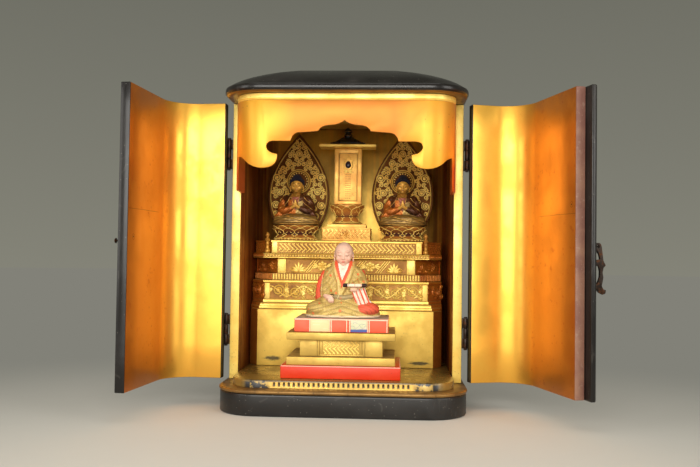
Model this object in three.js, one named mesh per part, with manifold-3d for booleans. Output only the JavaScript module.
// Household altar cabinet: a lacquered case with two bow-cornered doors standing open on its carved
// altar, two seated figures with their mandorlas, a memorial tablet and a monk seated on a stand.
// Millimetres, +Z up, +X to the right. The origin is the centre of the plinth's underside, and the
// doors face -Y.
import * as THREE from "three";
import { mergeVertices } from "three/addons/utils/BufferGeometryUtils.js";
import Module from "manifold-3d";

const wasm = await Module();
wasm.setup();

// Driving dimensions
const GAP = 0.3; // left between pieces that touch
const HALF_WIDTH = 124; // of the case, outside
const FRONT_Y = -105; // outer face of the closed doors
const BACK_Y = 105;
const CORNER_R = 40; // outer radius of the four upright corners
const WALL = 9.6; // case walls and doors
const CORNER_STEPS = 6;
const PLINTH_TOP = 21.8;
const MOULDING_TOP = 26.1;
const FLOOR_TOP = 34;
const DOOR_BOTTOM = 28.5;
const DOOR_TOP = 320.8;
const CEILING_BOTTOM = 316.5;
const ROOF_BOTTOM = 323.2;
const ROOF_EAVES = 331.4;
const ROOF_RISE = 30.6;
const LINER = WALL + 0.5; // how far the floor and ceiling boards lie inside the case's outline

// Doors and their fittings
const HINGE_X = 128;
const HINGE_Y = -37;
const LEFT_OPEN_DEG = 95.5;
const RIGHT_OPEN_DEG = 106;
const HINGE_BOTTOMS = { lower: 63, upper: 252 };
const HINGE_HEIGHT = 32;
const KNUCKLE_R = 2.5;
const PIN_R = 1;
const PIN_HOLE_R = 1.4;
const LATCH_Z = 171;
const ASTRAGAL = { left: -11, right: 7, thick: 6 };

// Altar platform, in tiers that grow narrower from the wall forwards
const ALTAR_X = -3.2;
const ALTAR_BACK_Y = 86;
const ALTAR_BACK_HALF = 110;
const ALTAR_BACK_CORNER = 15; // its back corners are cut off inside the case's rounded ones
const CANT = 1.33; // depth of a canted side over its width
const ALTAR_TOP = 176.8;

// Figures
const BUDDHA_Y = 43;
const BUDDHA_X = { left: -63.5, right: 61 };
const TABLET_X = -3.8;
const TABLET_Y = 46;
const STAND_X = -1.8;
const STAND_FRONT_Y = -82;
const STAND_DEPTH = 90;
const SEAT_TOP = 94.9;

const FINISHES = {
  blackLacquer: { color: 0x15120f, roughness: 0.25, metalness: 0 },
  gilding: { color: 0xd9a23a, roughness: 0.38, metalness: 0.7 },
  doorGilding: { color: 0xd98a2b, roughness: 0.42, metalness: 0.6 },
  agedGilding: { color: 0xa87a2c, roughness: 0.45, metalness: 0.6 },
  redLacquer: { color: 0xe0401c, roughness: 0.35, metalness: 0 },
  palePaint: { color: 0xe8c9a4, roughness: 0.7, metalness: 0 },
  brocade: { color: 0xc9a85a, roughness: 0.6, metalness: 0.2 },
  fittings: { color: 0x2b221b, roughness: 0.5, metalness: 0.8 },
};

// ---- solids -------------------------------------------------------------------------------------

/** A manifold solid from a closed three.js geometry. */
function solid(geometry) {
  const bare = geometry.clone();
  bare.deleteAttribute("normal");
  bare.deleteAttribute("uv");
  const merged = mergeVertices(bare, 1e-4);
  return new wasm.Manifold(
    new wasm.Mesh({
      numProp: 3,
      vertProperties: merged.attributes.position.array,
      triVerts: new Uint32Array(merged.index.array),
    }),
  );
}

/** A flat-shaded three.js geometry from a manifold solid. */
function geometryOf(shape) {
  const mesh = shape.getMesh();
  const indexed = new THREE.BufferGeometry();
  indexed.setAttribute("position", new THREE.BufferAttribute(mesh.vertProperties, 3));
  indexed.setIndex(new THREE.BufferAttribute(mesh.triVerts, 1));
  const faceted = indexed.toNonIndexed();
  faceted.computeVertexNormals();
  return faceted;
}

/** Joins closed geometries into one solid, filling any pocket that they seal between them. */
function join(...geometries) {
  const joined = geometries.map(solid).reduce((sum, next) => sum.add(next));
  const skins = joined.decompose().filter((skin) => skin.volume() > 0);
  return skins.reduce((sum, next) => sum.add(next));
}

/** Cuts closed geometries out of a solid. */
function cut(body, ...geometries) {
  return geometries.map(solid).reduce((rest, tool) => rest.subtract(tool), body);
}

/** A closed geometry through rings of equal length, lowest first, each anticlockwise from above. */
function loft(rings) {
  const count = rings[0].length;
  const middle = (ring) =>
    ring.reduce((sum, p) => sum.add(p), new THREE.Vector3()).divideScalar(count);
  const points = [...rings.flat(), middle(rings[0]), middle(rings.at(-1))];
  const bottom = points.length - 2;
  const top = points.length - 1;
  const lastRing = (rings.length - 1) * count;
  const faces = [];
  for (let j = 0; j < count; j++) {
    const next = (j + 1) % count;
    for (let i = 0; i < rings.length - 1; i++) {
      const low = i * count;
      const high = low + count;
      faces.push(low + j, low + next, high + next, low + j, high + next, high + j);
    }
    faces.push(bottom, next, j, top, lastRing + j, lastRing + next);
  }
  const geometry = new THREE.BufferGeometry().setFromPoints(points);
  geometry.setIndex(faces);
  return geometry;
}

/** A level ring of points from an outline of [x, y] pairs. */
const ringAt = (outline, z) => outline.map(([x, y]) => new THREE.Vector3(x, y, z));

/** An outline stood up along Z between two heights. */
function prism(outline, z0, z1) {
  const shape = new THREE.Shape(outline.map(([x, y]) => new THREE.Vector2(x, y)));
  const geometry = new THREE.ExtrudeGeometry(shape, { depth: z1 - z0, bevelEnabled: false });
  return geometry.translate(0, 0, z0);
}

/** An outline of [x, z] pairs run along Y between a front and a back. */
function frontPrism(outline, y0, y1) {
  return prism(outline, 0, y1 - y0)
    .rotateX(Math.PI / 2)
    .translate(0, y1, 0);
}

/** An outline of [y, z] pairs run along X. */
function sidePrism(outline, x0, x1) {
  const turn = new THREE.Matrix4().makeBasis(
    new THREE.Vector3(0, 1, 0),
    new THREE.Vector3(0, 0, 1),
    new THREE.Vector3(1, 0, 0),
  );
  return prism(outline, 0, x1 - x0)
    .applyMatrix4(turn)
    .translate(x0, 0, 0);
}

/** A box from its low and high corners. */
function block([x0, y0, z0], [x1, y1, z1]) {
  const geometry = new THREE.BoxGeometry(x1 - x0, y1 - y0, z1 - z0);
  return geometry.translate((x0 + x1) / 2, (y0 + y1) / 2, (z0 + z1) / 2);
}

/** An ellipsoid about a centre, with its three half sizes. */
function ellipsoid([x, y, z], [a, b, c], around = 10, upright = 7) {
  return new THREE.SphereGeometry(1, around, upright)
    .rotateX(Math.PI / 2)
    .scale(a, b, c)
    .translate(x, y, z);
}

/** A turned solid about the vertical line at x, y, from [radius, height] pairs, lowest first. */
function turned([x, y], profile, sides = 12, depth = 1) {
  return loft(
    profile.map(([r, z]) =>
      ringAt(
        Array.from({ length: sides }, (_, i) => {
          const angle = (2 * Math.PI * i) / sides;
          return [x + r * Math.cos(angle), y + depth * r * Math.sin(angle)];
        }),
        z,
      ),
    ),
  );
}

/** Points along an arc, ends included. */
function arc([cx, cy], r, from, to, steps) {
  return Array.from({ length: steps + 1 }, (_, i) => {
    const angle = THREE.MathUtils.degToRad(from + ((to - from) * i) / steps);
    return [cx + r * Math.cos(angle), cy + r * Math.sin(angle)];
  });
}

/** A limb through [x, y, z] points, with a radius at each, thinner by flat along its second axis. */
function limb(points, radii, sides = 8, flat = 1) {
  const path = points.map((p) => new THREE.Vector3(...p));
  const rings = path.map((p, i) => {
    const ahead = path[Math.min(i + 1, path.length - 1)];
    const behind = path[Math.max(i - 1, 0)];
    const along = ahead.clone().sub(behind).normalize();
    const guide = Math.abs(along.z) < 0.9 ? new THREE.Vector3(0, 0, 1) : new THREE.Vector3(0, 1, 0);
    const across = guide.clone().cross(along).normalize();
    const over = along.clone().cross(across);
    return Array.from({ length: sides }, (_, k) => {
      const angle = (2 * Math.PI * k) / sides;
      return p
        .clone()
        .addScaledVector(across, radii[i] * Math.cos(angle))
        .addScaledVector(over, flat * radii[i] * Math.sin(angle));
    });
  });
  return loft(rings);
}

/** The outline of a band of one width that follows a line of [x, y] points. */
function band(line, width) {
  const side = (sign) =>
    line.map(([x, y], i) => {
      const [ax, ay] = line[Math.max(i - 1, 0)];
      const [bx, by] = line[Math.min(i + 1, line.length - 1)];
      const length = Math.hypot(bx - ax, by - ay);
      const half = (sign * width) / 2 / length;
      return [x - (by - ay) * half, y + (bx - ax) * half];
    });
  return [...side(-1), ...side(1).reverse()];
}

/** A spiral line about a centre, from its outer end inwards. */
function curl([x, z], outer, inner, from, turns, steps) {
  return Array.from({ length: steps + 1 }, (_, i) => {
    const t = i / steps;
    const r = outer + (inner - outer) * t;
    const angle = THREE.MathUtils.degToRad(from) + 2 * Math.PI * turns * t;
    return [x + r * Math.cos(angle), z + r * Math.sin(angle)];
  });
}

// ---- case ---------------------------------------------------------------------------------------

/** The case's outline from above, grown outwards by a distance, anticlockwise. */
function casePlan(grow) {
  const r = CORNER_R + grow;
  const x = HALF_WIDTH - CORNER_R;
  const front = FRONT_Y + CORNER_R;
  const back = BACK_Y - CORNER_R;
  return [
    ...arc([x, front], r, -90, 0, CORNER_STEPS),
    ...arc([x, back], r, 0, 90, CORNER_STEPS),
    ...arc([-x, back], r, 90, 180, CORNER_STEPS),
    ...arc([-x, front], r, 180, 270, CORNER_STEPS),
  ];
}

/** A board with the case's outline, through [grow, z] pairs, lowest first. */
const caseBoard = (profile) => loft(profile.map(([grow, z]) => ringAt(casePlan(grow), z)));

function plinth() {
  return solid(caseBoard([[1.2, 0], [2.6, 1.6], [2.6, PLINTH_TOP - 1.2], [1.8, PLINTH_TOP]]));
}

function baseMoulding() {
  const bottom = PLINTH_TOP + GAP;
  return solid(
    caseBoard([[2.6, bottom], [3.6, bottom + 0.8], [3.6, MOULDING_TOP - 1], [2.8, MOULDING_TOP]]),
  );
}

/** The floor board, whose front riser is pierced by a row of round-headed notches. */
function floorBoard() {
  const bottom = MOULDING_TOP + GAP;
  const notches = 28;
  const reach = 69.5;
  const pitch = (2 * reach) / notches;
  const half = 1.3;
  const front = FRONT_Y + LINER;
  const board = solid(caseBoard([[-LINER, bottom], [-LINER, FLOOR_TOP - 0.6], [-LINER - 0.6, FLOOR_TOP]]));
  const tools = Array.from({ length: notches }, (_, i) => {
    const x = -reach + (i + 0.5) * pitch;
    const notch = [[x - half, 28], [x + half, 28], [x + half * 0.7, 32.2], [x - half * 0.7, 32.2]];
    return frontPrism(notch, front - 1, front + 1.2);
  });
  return cut(board, ...tools);
}

/** The walls and back in one bent shell, open to the front. */
function caseShell() {
  const x = HALF_WIDTH - CORNER_R;
  const back = BACK_Y - CORNER_R;
  const inner = CORNER_R - WALL;
  const outline = [
    [HALF_WIDTH, HINGE_Y],
    ...arc([x, back], CORNER_R, 0, 90, CORNER_STEPS),
    ...arc([-x, back], CORNER_R, 90, 180, CORNER_STEPS),
    [-HALF_WIDTH, HINGE_Y],
    [-HALF_WIDTH + WALL, HINGE_Y],
    ...arc([-x, back], inner, 180, 90, CORNER_STEPS),
    ...arc([x, back], inner, 90, 0, CORNER_STEPS),
    [HALF_WIDTH - WALL, HINGE_Y],
  ];
  return solid(prism(outline, MOULDING_TOP + GAP, ROOF_BOTTOM - GAP));
}

function ceilingBoard() {
  const top = ROOF_BOTTOM - GAP;
  return solid(
    caseBoard([[-LINER - 0.8, CEILING_BOTTOM], [-LINER, CEILING_BOTTOM + 0.8], [-LINER, top]]),
  );
}

/** The roof: a nosing round the case and a pillow-shaped crown above it. */
function roof() {
  const nosing = [[-0.5, ROOF_BOTTOM], [2.5, 325.4], [2.5, 329], [1.6, ROOF_EAVES]];
  const rings = nosing.map(([grow, z]) => ringAt(casePlan(grow), z));
  const edge = casePlan(0.4);
  const halfX = HALF_WIDTH + 0.4;
  const halfY = (BACK_Y - FRONT_Y) / 2 + 0.4;
  for (const share of [1, 0.98, 0.93, 0.85, 0.72, 0.52, 0.26]) {
    const round = Math.sqrt(1 - share);
    const height = ROOF_EAVES + 0.1 + ROOF_RISE * (1 - share ** 2.2) ** 0.6;
    const outline = edge.map(([x, y]) => {
      const reach = Math.hypot(x / halfX, y / halfY);
      const scale = share * (1 - round + round / reach);
      return [x * scale, y * scale];
    });
    rings.push(ringAt(outline, height));
  }
  return solid(loft(rings));
}

/** The right half of the curtain board's lower edge, from its middle outwards, as [x, z]. */
function curtainEdge() {
  const path = new THREE.Path();
  path.moveTo(0, 296);
  path.quadraticCurveTo(6, 291.4, 15, 291.2);
  path.quadraticCurveTo(24.5, 290.6, 26.4, 285);
  path.lineTo(47, 283.4);
  path.quadraticCurveTo(53.6, 281.6, 54.4, 274.8);
  path.lineTo(72.5, 274.8);
  path.quadraticCurveTo(79.5, 274, 79, 268.4);
  path.quadraticCurveTo(78, 262.4, 67.8, 261.2);
  path.quadraticCurveTo(67, 247.4, 84, 247.4);
  path.quadraticCurveTo(95, 248, 102, 256);
  path.quadraticCurveTo(105.5, 259.4, 109, 259.6);
  return path.getPoints(3).map(({ x, y }) => [x, y]);
}

/** The curtain board that wraps the opening's upper part, with its narrow side returns. */
function curtainBoard() {
  const outerInset = LINER + 0.2;
  const thick = 3.4;
  const returnBottom = 226;
  const top = CEILING_BOTTOM - GAP;
  const ring = cut(
    solid(prism(casePlan(-outerInset), returnBottom, top)),
    prism(casePlan(-outerInset - thick), returnBottom - 1, top + 1),
    block([-HALF_WIDTH, HINGE_Y - 1, returnBottom - 1], [HALF_WIDTH, BACK_Y, top + 1]),
  );
  const right = [...curtainEdge(), [109.6, returnBottom - 1], [HALF_WIDTH, returnBottom - 1]];
  const left = right.slice(1).map(([x, z]) => [-x, z]).reverse();
  const outline = [...left, ...right, [HALF_WIDTH, top + 2], [-HALF_WIDTH, top + 2]];
  return ring.intersect(solid(frontPrism(outline, FRONT_Y, 0)));
}

// ---- doors and fittings -------------------------------------------------------------------------

/** A door in its closed place: a leaf bent round the case's front corner. Side is -1 or 1. */
function door(side) {
  const meeting = 0.4;
  const centre = [HALF_WIDTH - CORNER_R, FRONT_Y + CORNER_R];
  const hingeEdge = HINGE_Y - 0.5;
  const outline = [
    [meeting, FRONT_Y],
    ...arc(centre, CORNER_R, -90, 0, CORNER_STEPS),
    [HALF_WIDTH, hingeEdge],
    [HALF_WIDTH - WALL, hingeEdge],
    ...arc(centre, CORNER_R - WALL, 0, -90, CORNER_STEPS),
    [meeting, FRONT_Y + WALL],
  ];
  const sided = side > 0 ? outline : outline.map(([x, y]) => [-x, y]).reverse();
  return solid(prism(sided, DOOR_BOTTOM, DOOR_TOP));
}

/** A bored knuckle round the hinge line, one side of the cabinet. */
function knuckle(side, z0, z1) {
  const ring = (r) => arc([side * HINGE_X, HINGE_Y], r, 0, 315, 7);
  return cut(solid(prism(ring(KNUCKLE_R), z0, z1)), prism(ring(PIN_HOLE_R), z0 - 1, z1 + 1));
}

/** One leaf of a hinge: its plate, its knuckles and the webs that join them. */
function hingeLeaf(side, bottom, onDoor) {
  const third = HINGE_HEIGHT / 3;
  const inner = HALF_WIDTH + GAP;
  const spans = onDoor
    ? [[bottom + third + GAP, bottom + 2 * third - GAP]]
    : [[bottom, bottom + third], [bottom + 2 * third, bottom + HINGE_HEIGHT]];
  const along = onDoor ? -1 : 1;
  const span = (a, b) => [side * a, side * b].sort((p, q) => p - q);
  const [plateLow, plateHigh] = span(inner, inner + 1);
  const [webLow, webHigh] = span(inner, HINGE_X - 1.6);
  const depth = (a, b) => [HINGE_Y + along * a, HINGE_Y + along * b].sort((p, q) => p - q);
  const [plateFront, plateBack] = depth(3.2, 18);
  const [webFront, webBack] = depth(0.7, 3.6);
  let leaf = solid(
    block([plateLow, plateFront, bottom], [plateHigh, plateBack, bottom + HINGE_HEIGHT]),
  );
  for (const [z0, z1] of spans) {
    leaf = leaf.add(solid(block([webLow, webFront, z0], [webHigh, webBack, z1])));
    leaf = leaf.add(knuckle(side, z0, z1));
  }
  return leaf;
}

/** The pin of one hinge, with a small head at each end. */
function hingePin(side, bottom) {
  const top = bottom + HINGE_HEIGHT;
  const profile = [
    [1.9, bottom - 1.6],
    [1.9, bottom - GAP],
    [PIN_R, bottom - GAP + 0.01],
    [PIN_R, top + GAP - 0.01],
    [1.9, top + GAP],
    [1.9, top + 1.6],
  ];
  return solid(turned([side * HINGE_X, HINGE_Y], profile, 6));
}

/** The meeting strip down the right door's edge, rounded on its outside. */
function astragal() {
  const near = FRONT_Y - GAP;
  const far = near - ASTRAGAL.thick;
  const outline = [
    [ASTRAGAL.left, near],
    [ASTRAGAL.left, far + 2],
    [ASTRAGAL.left + 2, far],
    [ASTRAGAL.right - 2, far],
    [ASTRAGAL.right, far + 2],
    [ASTRAGAL.right, near],
  ];
  return solid(prism(outline, DOOR_BOTTOM, DOOR_TOP));
}

/** The left door's latch stud: a rosette, a shank and a round head. */
function latchStud() {
  const profile = [[2.6, 0], [2.6, 0.7], [1, 0.9], [1, 6.6], [2.5, 7], [2.4, 7.8], [1.2, 8.6]];
  const stud = turned([0, 0], profile, 12);
  return solid(stud.rotateX(Math.PI / 2).translate(-14.4, FRONT_Y - GAP, LATCH_Z));
}

const STAPLE_REACH = 4.6; // from the strip's face to the middle of the staple's bar
const HASP_X = (ASTRAGAL.left + ASTRAGAL.right) / 2;
const HASP_Y = FRONT_Y - GAP - ASTRAGAL.thick - GAP - STAPLE_REACH;

/** The staple on the meeting strip: two legs and the bar that the hasp hangs from. */
function latchStaple() {
  const half = 3;
  const wire = 0.9;
  const legs = [-half, half].map((dx) =>
    turned([0, 0], [[wire, 0], [wire, STAPLE_REACH + 0.4]], 6)
      .rotateX(Math.PI / 2)
      .translate(HASP_X + dx, HASP_Y + STAPLE_REACH, LATCH_Z),
  );
  const bar = turned([0, 0], [[wire, -half - 0.5], [wire, half + 0.5]], 6)
    .rotateY(Math.PI / 2)
    .translate(HASP_X, HASP_Y, LATCH_Z);
  return join(bar, ...legs);
}

/** The hanging hasp: a flat scrolled plate with an eye, a middle prong and a curled foot. */
function latchHasp() {
  const half = 1.3;
  const outer = [
    [1.2, 3.4], [-0.8, 3.6], [-2.6, 2.4], [-3.4, 0], [-3.9, -3.5], [-4.6, -8], [-5.2, -13],
    [-7.6, -17.4], [-5.4, -19.6], [-4.4, -24], [-5.2, -28.6], [-4.4, -33], [-3.6, -36.5],
    [-5.4, -39.6], [-7.9, -40.4], [-7.4, -43.4], [-4.6, -44.6], [-0.6, -42.6], [2.6, -38.6],
  ];
  const inner = [
    [2.8, -36], [0.2, -32.8], [-1.4, -28.4], [-1.6, -23], [-0.6, -18.6], [3, -16.8], [3, -13.6],
    [1.4, -12.4], [-1.8, -11.8], [-0.8, -7.4], [1.2, -4.4], [2.9, -2.4], [3.2, 0], [2.6, 2.2],
  ];
  const outline = [...outer, ...inner].map(([y, z]) => [HASP_Y - 0.4 + y, LATCH_Z + z]);
  const eye = arc([HASP_Y, LATCH_Z], 1.5, 0, 315, 7);
  const plate = sidePrism(outline, HASP_X - half, HASP_X + half);
  return cut(solid(plate), sidePrism(eye, HASP_X - half - 1, HASP_X + half + 1));
}

// ---- altar platform -----------------------------------------------------------------------------

/** A tier's outline from above: a front between two canted sides that meet the same back. */
function tierPlan(halfFront, frontY) {
  const side = ALTAR_BACK_HALF;
  const canted = frontY + (side - halfFront) * CANT;
  const right = [
    [halfFront, frontY],
    [side, canted],
    [side, ALTAR_BACK_Y - ALTAR_BACK_CORNER - 3],
    [side - ALTAR_BACK_CORNER, ALTAR_BACK_Y],
  ];
  const left = right.map(([x, y]) => [-x, y]).reverse();
  return [...right, ...left].map(([x, y]) => [ALTAR_X + x, y]);
}

/** A tier through [grow, z] pairs, lowest first, where grow widens its front and sides. */
function tier(halfFront, frontY, profile) {
  return loft(
    profile.map(([grow, z]) => ringAt(tierPlan(halfFront + grow * 0.7, frontY - grow), z)),
  );
}

function altarLowerBox() {
  return solid(tier(100, 16.5, [[0, FLOOR_TOP + GAP], [0, 98]]));
}

function altarStep() {
  return solid(
    tier(97.6, 17, [[0, 98.3], [0.8, 99], [0.8, 101], [-0.4, 101.8], [-0.4, 103.6], [-2, 105.7]]),
  );
}

/** The tall tier carved with a running scroll along its front. */
function altarScrollTier() {
  const half = 93.6;
  const face = 20;
  const top = 131;
  const bottom = 106;
  const proud = 1.6;
  const body = tier(half, face, [
    [0.8, bottom], [0.8, bottom + 2.4], [0, bottom + 3.2], [0, top - 3], [1, top - 2.2], [1, top],
  ]);
  const curls = 8;
  const pitch = (2 * half - 14) / curls;
  const middle = (bottom + top) / 2;
  const reliefs = [];
  for (let i = 0; i < curls; i++) {
    const x = ALTAR_X - half + 7 + (i + 0.5) * pitch;
    const up = i % 2 ? 1 : -1;
    const line = curl([x, middle], 8.2, 2, up * 150, up * 1.25, 7);
    reliefs.push(frontPrism(band(line, 2.2), face - proud, face + 1));
  }
  return join(body, ...reliefs);
}

/** The narrow band of upright flutes. */
function altarFluteBand() {
  const half = 84.8;
  const face = 25;
  const flutes = 26;
  const pitch = (2 * half) / flutes;
  const front = [];
  for (let i = 0; i < flutes; i++) {
    const x = -half + i * pitch;
    front.push([ALTAR_X + x, face], [ALTAR_X + x + pitch / 2, face - 1.5]);
  }
  const right = [[half, face], [half + 7, face + 6], [half + 7, ALTAR_BACK_Y]];
  const ends = right.map(([x, y]) => [ALTAR_X + x, y]);
  const left = right.slice(1).map(([x, y]) => [ALTAR_X - x, y]).reverse();
  return solid(prism([...front, ...ends, ...left], 131.3, 138.7));
}

/** The waist, with a carved panel of leaves between plain posts. */
function altarWaist() {
  const half = 79.2;
  const face = 29;
  const bottom = 139;
  const top = 155.7;
  const body = tier(half, face, [[0, bottom], [0, top]]);
  const posts = [-1, 1].map((side) => {
    const [x0, x1] = [side * (half - 9.6), side * half].sort((a, b) => a - b);
    return block([ALTAR_X + x0, face - 1.6, bottom], [ALTAR_X + x1, face + 2, top]);
  });
  const sprays = 5;
  const pitch = (2 * (half - 10)) / sprays;
  const leaves = [];
  for (let i = 0; i < sprays; i++) {
    const x = ALTAR_X - half + 10 + (i + 0.5) * pitch;
    leaves.push(block([x - 2.6, face - 1.6, bottom + 1], [x + 2.6, face + 1, bottom + 3.6]));
    for (const lean of [-60, -25, 0, 25, 60]) {
      const angle = THREE.MathUtils.degToRad(90 + lean);
      const reach = 12 - Math.abs(lean) * 0.03;
      const tip = [x + reach * Math.cos(angle), bottom + 2.4 + reach * Math.sin(angle)];
      const root = [x, bottom + 2.4];
      const mid = [(tip[0] + root[0]) / 2, (tip[1] + root[1]) / 2];
      const wide = [-Math.sin(angle) * 1.5, Math.cos(angle) * 1.5];
      const near = [mid[0] - wide[0], mid[1] - wide[1]];
      const far = [mid[0] + wide[0], mid[1] + wide[1]];
      const leaf = [root, near, tip, far];
      leaves.push(frontPrism(leaf, face - 1.3, face + 1));
    }
  }
  return join(body, ...posts, ...leaves);
}

/** The thin projecting slab whose edge is rounded like a string of beads' bed. */
function altarBeadedSlab() {
  return solid(
    tier(94.9, 21, [
      [-2.4, 156], [0, 156.9], [0, 158], [0.9, 158.6], [0.9, 160.2], [0, 160.8], [0, 161.9],
    ]),
  );
}

/** The top tier, with a raised key-fret along its front. */
function altarFretTier() {
  const half = 86;
  const face = 27;
  const bottom = 162.2;
  const body = tier(half, face, [
    [0, bottom], [0, ALTAR_TOP - 2.2], [1.4, ALTAR_TOP - 1.6], [1.4, ALTAR_TOP],
  ]);
  const posts = [-1, 1].map((side) => {
    const [x0, x1] = [side * (half - 6), side * (half + 0.6)].sort((a, b) => a - b);
    return block([ALTAR_X + x0, face - 1.8, bottom], [ALTAR_X + x1, face + 2, ALTAR_TOP - 1]);
  });
  const keys = 9;
  const pitch = (2 * (half - 7)) / keys;
  const bars = [];
  for (let i = 0; i < keys; i++) {
    const x = ALTAR_X - half + 7 + (i + 0.5) * pitch;
    const z = (bottom + ALTAR_TOP - 2) / 2;
    const key = [[-6.4, -4.6], [-1.4, 4.4], [1.6, 4.4], [-1.2, -1], [1.4, -4.6], [6.4, 4.4]];
    const line = key.map(([dx, dz]) => [x + dx, z + dz]);
    for (const stroke of [line.slice(0, 4), line.slice(4)]) {
      bars.push(frontPrism(band(stroke, 1.5), face - 1.1, face + 1));
    }
  }
  return join(body, ...posts, ...bars);
}

/** A railing post at a front corner of the beaded slab. */
function newelPost(side) {
  const bottom = 161.9 + GAP;
  const at = [ALTAR_X + side * 91, 24.8];
  const profile = [
    [3, bottom], [3, 166], [2.2, 167], [2.2, 176], [3.2, 177.4], [1.4, 180.4], [2.6, 183], [0.6, 186],
  ];
  return solid(turned(at, profile, 8));
}

// ---- seated figures -----------------------------------------------------------------------------

/** A soft oval ring with n-fold ripples, for robes and lotus petals. */
function rippled([x, y], halfX, halfY, z, ripples, depth, steps, power = 2) {
  return Array.from({ length: steps }, (_, i) => {
    const angle = (2 * Math.PI * i) / steps;
    const c = Math.cos(angle);
    const s = Math.sin(angle);
    const wave = 1 + depth * Math.cos(ripples * angle);
    const px = Math.sign(c) * Math.abs(c) ** (2 / power) * halfX * wave;
    const py = Math.sign(s) * Math.abs(s) ** (2 / power) * halfY * wave;
    return new THREE.Vector3(x + px, y + py, z);
  });
}

/** A seated Buddha with hands joined before the chest, on the line x, BUDDHA_Y. */
function buddha(x) {
  const y = BUDDHA_Y;
  const z = 195;
  const at = (dx, dy, dz) => [x + dx, y + dy, z + dz];
  const ring = (halfX, halfY, dy, dz, ripples = 0, depth = 0, power = 2) =>
    rippled([x, y + dy], halfX, halfY, z + dz, ripples, depth, 10, power);
  const legs = loft([
    ring(26, 15, -1, 0, 5, 0.02, 2.4),
    ring(28.4, 17, -1, 4, 0, 0, 2.4),
    ring(27, 16, -1, 8.6, 5, 0.03, 2.4),
    ring(18, 12, 2, 13),
  ]);
  const torso = loft([
    ring(16, 11, 3, 11, 5, 0.03),
    ring(15, 9.5, 4.5, 26, 5, 0.03),
    ring(14, 8.2, 5, 32.6),
    ring(5, 5, 4, 38.4),
    ring(4.2, 4.4, 3, 42),
  ]);
  const arms = [-1, 1].map((side) =>
    limb(
      [at(side * 13, 5, 33), at(side * 19.6, 3, 21), at(side * 15, -6, 16.6), at(side * 2.6, -11, 24)],
      [5, 6.2, 5.4, 2.8],
      6,
    ),
  );
  const sleeves = [-1, 1].map((side) =>
    limb([at(side * 19, 1, 20), at(side * 21.4, -2, 8)], [6, 6.4], 6, 0.8),
  );
  const hands = limb([at(0, -10.6, 20), at(0, -12, 25), at(0, -12.4, 30.4)], [3.2, 3, 1.2], 6, 0.8);
  const head = ellipsoid(at(0, 2, 46.4), [7.7, 8.2, 9.6], 8, 6);
  const ears = [-1, 1].map((side) => ellipsoid(at(side * 7.8, 2.6, 44.8), [1.2, 1.8, 4.6], 4, 3));
  const hair = loft([
    ring(8.2, 8.6, 3.2, 48.4),
    ring(9.4, 9.4, 3.4, 51.6),
    ring(6.8, 7, 4, 58),
    ring(5.2, 5.4, 4.2, 60.2),
    ring(2.6, 2.8, 4.2, 65.4),
  ]);
  return join(legs, torso, ...arms, ...sleeves, hands, head, ...ears, hair);
}

/** The lotus seat under a Buddha: a stepped foot and a bowl of petals. */
function lotusSeat(x) {
  const at = [x, BUDDHA_Y];
  const bottom = ALTAR_TOP + GAP;
  const petals = 11;
  const ring = (half, z, depth) =>
    Array.from({ length: 2 * petals }, (_, i) => {
      const angle = (Math.PI * i) / petals;
      const wave = half * (1 + depth * (i % 2 ? -1 : 1));
      return new THREE.Vector3(at[0] + wave * Math.cos(angle), at[1] + 0.66 * wave * Math.sin(angle), z);
    });
  return solid(
    loft([
      ring(25, bottom, 0),
      ring(25, bottom + 2.6, 0),
      ring(21.6, bottom + 4.4, 0),
      ring(28.6, 188, 0.06),
      ring(27.4, 194.7, 0.03),
    ]),
  );
}

/** The right half of a mandorla's outline from its foot to its tip, as [x, z] from its foot. */
function mandorlaHalf(inset) {
  const curve = new THREE.CubicBezierCurve(
    new THREE.Vector2(22 - inset, inset * 0.6),
    new THREE.Vector2(52 - inset * 1.4, 44),
    new THREE.Vector2(32 - inset, 84),
    new THREE.Vector2(0, 119 - inset * 2),
  );
  return curve.getPoints(10).map(({ x, y }) => [x, y]);
}

/** A boat-shaped mandorla with a rim, a halo ring and curling flames. */
function mandorla(x) {
  const face = 65;
  const thick = 3;
  const foot = 187;
  const outline = (inset) => {
    const right = mandorlaHalf(inset);
    const left = right.slice(0, -1).map(([a, b]) => [-a, b]).reverse();
    return [...right, ...left].map(([a, b]) => [x + a, foot + b]);
  };
  const plate = join(
    frontPrism(outline(0), face, face + thick),
    block([x - 9, face, ALTAR_TOP + GAP], [x + 9, face + thick, foot + 2]),
  );
  const rim = cut(
    solid(frontPrism(outline(0), face - 1.6, face + 1)),
    frontPrism(outline(2.4), face - 3, face + 2),
  );
  const halo = 61.8;
  const ringOf = (r) => arc([x, foot + halo], r, 0, 337.5, 15);
  const haloRing = cut(
    solid(frontPrism(ringOf(13.6), face - 1.5, face + 1)),
    frontPrism(ringOf(11.8), face - 3, face + 2),
  );
  const flames = [];
  const rows = [[27, 36, 6.4], [24, 58, 6.6], [12, 82, 6.6]];
  for (const [dx, dz, r] of rows) {
    for (const side of [-1, 1]) {
      const line = curl([side * dx, dz], r, r * 0.28, side > 0 ? 60 : 120, side * 1.2, 7);
      const placed = band(line, 1.7).map(([a, b]) => [x + a, foot + b]);
      flames.push(frontPrism(placed, face - 1.3, face + 1));
    }
  }
  return flames.reduce((sum, flame) => sum.add(solid(flame)), plate.add(rim).add(haloRing));
}

// ---- memorial tablet ----------------------------------------------------------------------------

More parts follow.
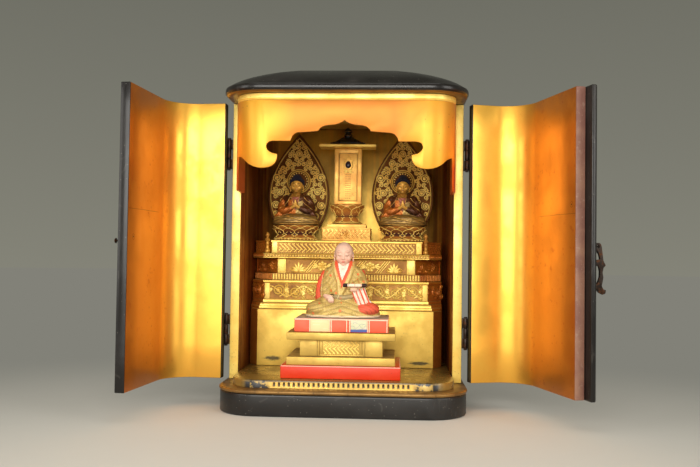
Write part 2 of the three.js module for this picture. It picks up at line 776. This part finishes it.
function tabletBase() {
  const x = TABLET_X;
  const y = TABLET_Y;
  const bottom = ALTAR_TOP + GAP;
  const box = block([x - 27.6, y - 15, bottom], [x + 27.6, y + 15, 192.2]);
  const plate = block([x - 22.8, y - 13, 192], [x + 22.8, y + 13, 196.5]);
  const frame = [
    block([x - 28.4, y - 15.8, bottom], [x + 28.4, y + 15.8, bottom + 1.8]),
    block([x - 28.4, y - 15.8, 190.6], [x + 28.4, y + 15.8, 192.3]),
  ];
  const bars = [];
  for (let i = -3; i <= 3; i++) {
    const middle = x + i * 7.2;
    bars.push(
      frontPrism(
        [[middle - 4, 180], [middle - 2.6, 180], [middle + 4, 189.4], [middle + 2.6, 189.4]],
        y - 16,
        y - 14,
      ),
    );
  }
  return join(box, plate, ...frame, ...bars);
}

function tabletLotus() {
  const petals = 9;
  const ring = (halfX, halfY, z, depth) =>
    rippled([TABLET_X, TABLET_Y], halfX, halfY, z, petals, depth, 2 * petals);
  return solid(
    loft([
      ring(15, 9.6, 196.8, 0),
      ring(17.4, 10.4, 198, 0.02),
      ring(17, 10, 201, 0),
      ring(21, 12, 205, 0.05),
      ring(24, 13.4, 211, 0.07),
      ring(22.8, 12.6, 216.4, 0.04),
      ring(20.4, 11.4, 219.8, 0),
    ]),
  );
}

/** The tablet's upright: a framed board with rows of shallow strokes below a flaming jewel. */
function tabletBody() {
  const x = TABLET_X + 0.6;
  const y = TABLET_Y;
  const bottom = 220.1;
  const top = 285.6;
  const half = 15.9;
  const board = block([x - half, y - 4.6, bottom], [x + half, y + 4.6, top]);
  const panel = block([x - half + 5, y - 7, bottom + 3.6], [x + half - 5, y - 3, top - 5.2]);
  const jewel = limb([[x, y - 3, 264], [x, y - 3.2, 268], [x, y - 3, 274]], [3.6, 4.2, 0.6], 8, 0.5);
  const strokes = [];
  for (let row = 0; row < 4; row++) {
    const z = 230 + row * 7.6;
    const width = row % 2 ? 3 : 4.2;
    strokes.push(block([x - width, y - 3.9, z], [x + width, y - 2.8, z + 1]));
    strokes.push(block([x - 0.6, y - 3.9, z - 1.9], [x + 0.6, y - 2.8, z + 2.9]));
  }
  const carved = cut(solid(board), panel);
  return [jewel, ...strokes].reduce((sum, next) => sum.add(solid(next)), carved);
}

function tabletCanopy() {
  const x = TABLET_X;
  const y = TABLET_Y;
  const corners = [[-1, -1], [1, -1], [1, 1], [-1, 1]];
  const ring = (halfX, halfY, z) =>
    ringAt(corners.map(([sx, sy]) => [x + sx * halfX, y + sy * halfY]), z);
  return solid(
    loft([
      ring(28, 9, 285.9), ring(33, 12, 286.6), ring(33, 12, 289.6), ring(30, 10.5, 290.2),
    ]),
  );
}

/** The tablet's low black roof and its finial with two rings. */
function tabletRoof() {
  const bottom = 290.5;
  const ring = (half, z) =>
    ringAt(
      [[-half, -half * 0.5], [half, -half * 0.5], [half, half * 0.5], [-half, half * 0.5]].map(
        ([dx, dy]) => [TABLET_X + dx, TABLET_Y + dy],
      ),
      z,
    );
  const hip = loft([
    ring(20.4, bottom), ring(20.4, bottom + 1.2), ring(11, bottom + 4.6), ring(6, bottom + 8.6),
  ]);
  const finial = turned(
    [TABLET_X, TABLET_Y],
    [[3.4, 298], [4.8, 300], [4.8, 302], [3.6, 302.8], [3.6, 304], [4.6, 304.8], [4.6, 307], [2, 310.4]],
    10,
  );
  return join(hip, finial);
}

// ---- monk and stand -----------------------------------------------------------------------------

/** A stand board: the stand's outline shrunk by an inset at each [half, z], square in plan. */
function standBoard(profile, frontInset = 0, backInset = 0) {
  const front = STAND_FRONT_Y + frontInset;
  const back = STAND_FRONT_Y + STAND_DEPTH - backInset;
  const widest = Math.max(...profile.map(([half]) => half));
  return loft(
    profile.map(([half, z]) => {
      const inset = widest - half;
      const x0 = STAND_X - half;
      const x1 = STAND_X + half;
      return ringAt([[x0, front + inset], [x1, front + inset], [x1, back - inset], [x0, back - inset]], z);
    }),
  );
}

function standBaseBoard() {
  return solid(standBoard([[60.6, 34.3], [61, 34.7], [61, 47], [60.6, 47.4]]));
}

function standFootBoard() {
  return solid(standBoard([[58.6, 47.7], [58.6, 48.8], [56, 50], [55.4, 55.6], [55, 56]], 1.4, 2));
}

/** The stand's waist: a block with corner cheeks and a raised fret on its front. */
function standWaist() {
  const front = STAND_FRONT_Y + 10;
  const back = STAND_FRONT_Y + STAND_DEPTH - 10;
  const core = block([STAND_X - 36, front + 1.6, 56.3], [STAND_X + 36, back - 1.6, 73.1]);
  const cheeks = [-1, 1].map((side) => {
    const [x0, x1] = [side * 24, side * 42.6].sort((a, b) => a - b);
    return block([STAND_X + x0, front, 56.3], [STAND_X + x1, back, 73.1]);
  });
  const fret = [];
  for (let i = -1; i <= 1; i++) {
    const x = STAND_X + i * 12;
    for (const lean of [-1, 1]) {
      const bar = band([[x - lean * 5, 59], [x + lean * 5, 70.4]], 1.3);
      fret.push(frontPrism(bar, front + 0.6, front + 2));
    }
  }
  return join(core, ...cheeks, ...fret);
}

function standTopBoard() {
  return solid(standBoard([[54.6, 73.4], [55.5, 74.2], [55.5, 80.2], [55, 80.8]], 1.4, 2));
}

function monkSeat() {
  return solid(standBoard([[48.3, 81.1], [48.3, SEAT_TOP - 0.6], [47.7, SEAT_TOP]], 8, 8));
}

/** The monk: crossed legs under a spread robe, broad sleeves, a collar and a bare head. */
function monk() {
  const x = STAND_X;
  const y = -44;
  const z = SEAT_TOP + GAP;
  const at = (dx, dy, dz) => [x + dx, y + dy, z + dz];
  const ring = (halfX, halfY, dx, dy, dz, ripples = 0, depth = 0, power = 2) =>
    rippled([x + dx, y + dy], halfX, halfY, z + dz, ripples, depth, 14, power);
  const lap = loft([
    ring(40, 25, -0.5, 0, 0, 7, 0.02, 2.6),
    ring(39, 24.4, -0.5, 0, 5, 7, 0.03, 2.5),
    ring(34, 21, 0, 0, 14, 7, 0.03, 2.3),
    ring(23, 15, 0, 3, 22),
  ]);
  const torso = loft([
    ring(24, 15, 0, 4, 18, 7, 0.03),
    ring(23.6, 12.6, 0, 6, 42, 7, 0.02),
    ring(22, 10.6, 0, 6.4, 50.6),
    ring(8, 7, 0, 5, 56.6),
    ring(6.4, 6.4, 0, 4, 59.4),
  ]);
  const rightArm = limb(
    [at(-20, 6, 48), at(-24, 2, 36), at(-23, -8, 26), at(-15, -14, 21.6)],
    [7, 8.6, 7.6, 4], 6,
  );
  const leftArm = limb(
    [at(20, 6, 48), at(25.6, 2, 36), at(20, -10, 31), at(12, -16, 31.6)],
    [7, 8.6, 6.6, 3.6], 6,
  );
  const rightSleeve = limb([at(-24, 3, 34), at(-27, 1, 22), at(-29, 0, 14)], [7, 8, 5], 6, 0.7);
  const leftSleeve = limb(
    [at(20, -8, 30), at(21, -12, 20), at(27, -13, 12)],
    [6, 7.4, 6], 6, 0.6,
  );
  const hands = [
    ellipsoid(at(-13.6, -16, 21.6), [4.4, 3.4, 3], 6, 4),
    ellipsoid(at(12, -17.4, 32), [4.2, 3.2, 3.2], 6, 4),
  ];
  const collar = [-1, 1].map((side) =>
    limb([at(side * 8.4, 3, 58), at(side * 7.6, -5, 50), at(side * 1.4, -9.6, 34)], [1.8, 2.2, 2], 5),
  );
  const head = loft([
    ring(5.4, 6.2, 0, -1, 56.4),
    ring(8.6, 9.4, 0, -0.6, 60.4),
    ring(10.2, 11.4, 0, 0.4, 68),
    ring(9.6, 11, 0, 1, 74.6),
    ring(4.6, 5.6, 0, 1.2, 79.6),
  ]);
  const nose = limb([at(0, -9.6, 70), at(0, -12, 66)], [1, 1.7], 6);
  const ears = [-1, 1].map((side) => ellipsoid(at(side * 10.2, 1.6, 66.4), [1.4, 2.2, 4.4], 4, 3));
  return join(
    lap, torso, rightArm, leftArm, rightSleeve, leftSleeve, ...hands, ...collar, head, nose, ...ears,
  );
}

/** The rolled scroll that lies over the monk's left hand. */
function scroll() {
  const middle = [STAND_X + 13, -44 - 23, SEAT_TOP + GAP + 34];
  const profile = [[1.2, -12.4], [1.2, -10.6], [2.1, -10.4], [2.1, 10.4], [1.2, 10.6], [1.2, 12.4]];
  return solid(turned([0, 0], profile, 10).rotateY(Math.PI / 2 - 0.06).translate(...middle));
}

// ---- assembly -----------------------------------------------------------------------------------

const cabinet = new THREE.Group();

/** Adds one named piece with its finish to a group. */
function add(group, name, shape, finish) {
  const mesh = new THREE.Mesh(geometryOf(shape), new THREE.MeshStandardMaterial(FINISHES[finish]));
  mesh.name = name;
  group.add(mesh);
}

/** A group that turns what it holds, built in its closed place, about one side's hinge line. */
function hungDoor(side, degrees) {
  const hinge = new THREE.Group();
  hinge.position.set(side * HINGE_X, HINGE_Y, 0);
  hinge.rotation.z = THREE.MathUtils.degToRad(degrees);
  const closed = new THREE.Group();
  closed.position.set(-side * HINGE_X, -HINGE_Y, 0);
  hinge.add(closed);
  cabinet.add(hinge);
  return closed;
}

add(cabinet, "plinth", plinth(), "blackLacquer");
add(cabinet, "base_moulding", baseMoulding(), "agedGilding");
add(cabinet, "floor_board", floorBoard(), "agedGilding");
add(cabinet, "case_shell", caseShell(), "blackLacquer");
add(cabinet, "ceiling_board", ceilingBoard(), "gilding");
add(cabinet, "roof", roof(), "blackLacquer");
add(cabinet, "curtain_board", curtainBoard(), "gilding");

const doors = {
  left: { side: -1, group: hungDoor(-1, -LEFT_OPEN_DEG) },
  right: { side: 1, group: hungDoor(1, RIGHT_OPEN_DEG) },
};
for (const [name, { side, group }] of Object.entries(doors)) {
  add(group, name + "_door", door(side), "doorGilding");
  for (const [level, bottom] of Object.entries(HINGE_BOTTOMS)) {
    const label = name + "_" + level + "_hinge_";
    add(group, label + "door_leaf", hingeLeaf(side, bottom, true), "fittings");
    add(cabinet, label + "wall_leaf", hingeLeaf(side, bottom, false), "fittings");
    add(cabinet, label + "pin", hingePin(side, bottom), "fittings");
  }
}
add(doors.left.group, "latch_stud", latchStud(), "fittings");
add(doors.right.group, "astragal", astragal(), "blackLacquer");
add(doors.right.group, "latch_staple", latchStaple(), "fittings");
add(doors.right.group, "latch_hasp", latchHasp(), "fittings");

add(cabinet, "altar_lower_box", altarLowerBox(), "gilding");
add(cabinet, "altar_step", altarStep(), "gilding");
add(cabinet, "altar_scroll_tier", altarScrollTier(), "gilding");
add(cabinet, "altar_flute_band", altarFluteBand(), "gilding");
add(cabinet, "altar_waist", altarWaist(), "gilding");
add(cabinet, "altar_beaded_slab", altarBeadedSlab(), "gilding");
add(cabinet, "altar_fret_tier", altarFretTier(), "gilding");
for (const { side } of Object.values(doors)) {
  add(cabinet, (side < 0 ? "left" : "right") + "_newel_post", newelPost(side), "gilding");
}
for (const [name, x] of Object.entries(BUDDHA_X)) {
  add(cabinet, name + "_buddha", buddha(x), "agedGilding");
  add(cabinet, name + "_lotus_seat", lotusSeat(x), "agedGilding");
  add(cabinet, name + "_mandorla", mandorla(x), "agedGilding");
}
add(cabinet, "tablet_base", tabletBase(), "gilding");
add(cabinet, "tablet_lotus", tabletLotus(), "gilding");
add(cabinet, "tablet_body", tabletBody(), "gilding");
add(cabinet, "tablet_canopy", tabletCanopy(), "gilding");
add(cabinet, "tablet_roof", tabletRoof(), "blackLacquer");

add(cabinet, "stand_base_board", standBaseBoard(), "redLacquer");
add(cabinet, "stand_foot_board", standFootBoard(), "gilding");
add(cabinet, "stand_waist", standWaist(), "gilding");
add(cabinet, "stand_top_board", standTopBoard(), "gilding");
add(cabinet, "monk_seat", monkSeat(), "redLacquer");
add(cabinet, "monk", monk(), "brocade");
add(cabinet, "monk_scroll", scroll(), "palePaint");

export default cabinet;
